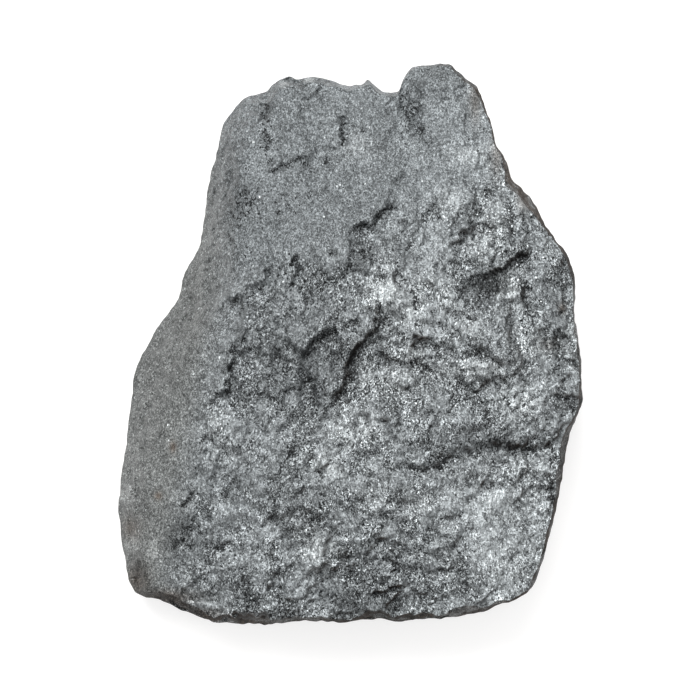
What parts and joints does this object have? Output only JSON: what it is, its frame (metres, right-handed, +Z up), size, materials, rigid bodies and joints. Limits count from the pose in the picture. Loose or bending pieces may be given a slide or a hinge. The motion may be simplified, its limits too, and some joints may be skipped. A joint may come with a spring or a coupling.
{
  "type": "hematite specimen",
  "caption": "Broken hand specimen of massive specular hematite, a thick steel-grey lump with a hackly, glittering upper face, resting on a flat underside.",
  "frame": {"origin": "middle of the stone's box in plan, on the surface that it rests on", "axes": "+Z up through the broken upper face, +Y along the stone's length towards its narrow end, +X to the right as seen from above with the narrow end away"},
  "size_m": [0.0666, 0.0814, 0.0233],
  "materials": {
    "hematite": "steel-grey granular specular hematite with a metallic glitter, dull on the smooth western flank and brown along the southern and eastern walls"
  },
  "bodies": {
    "root": {"hematite_stone": "hematite"}
  },
  "joints": []
}
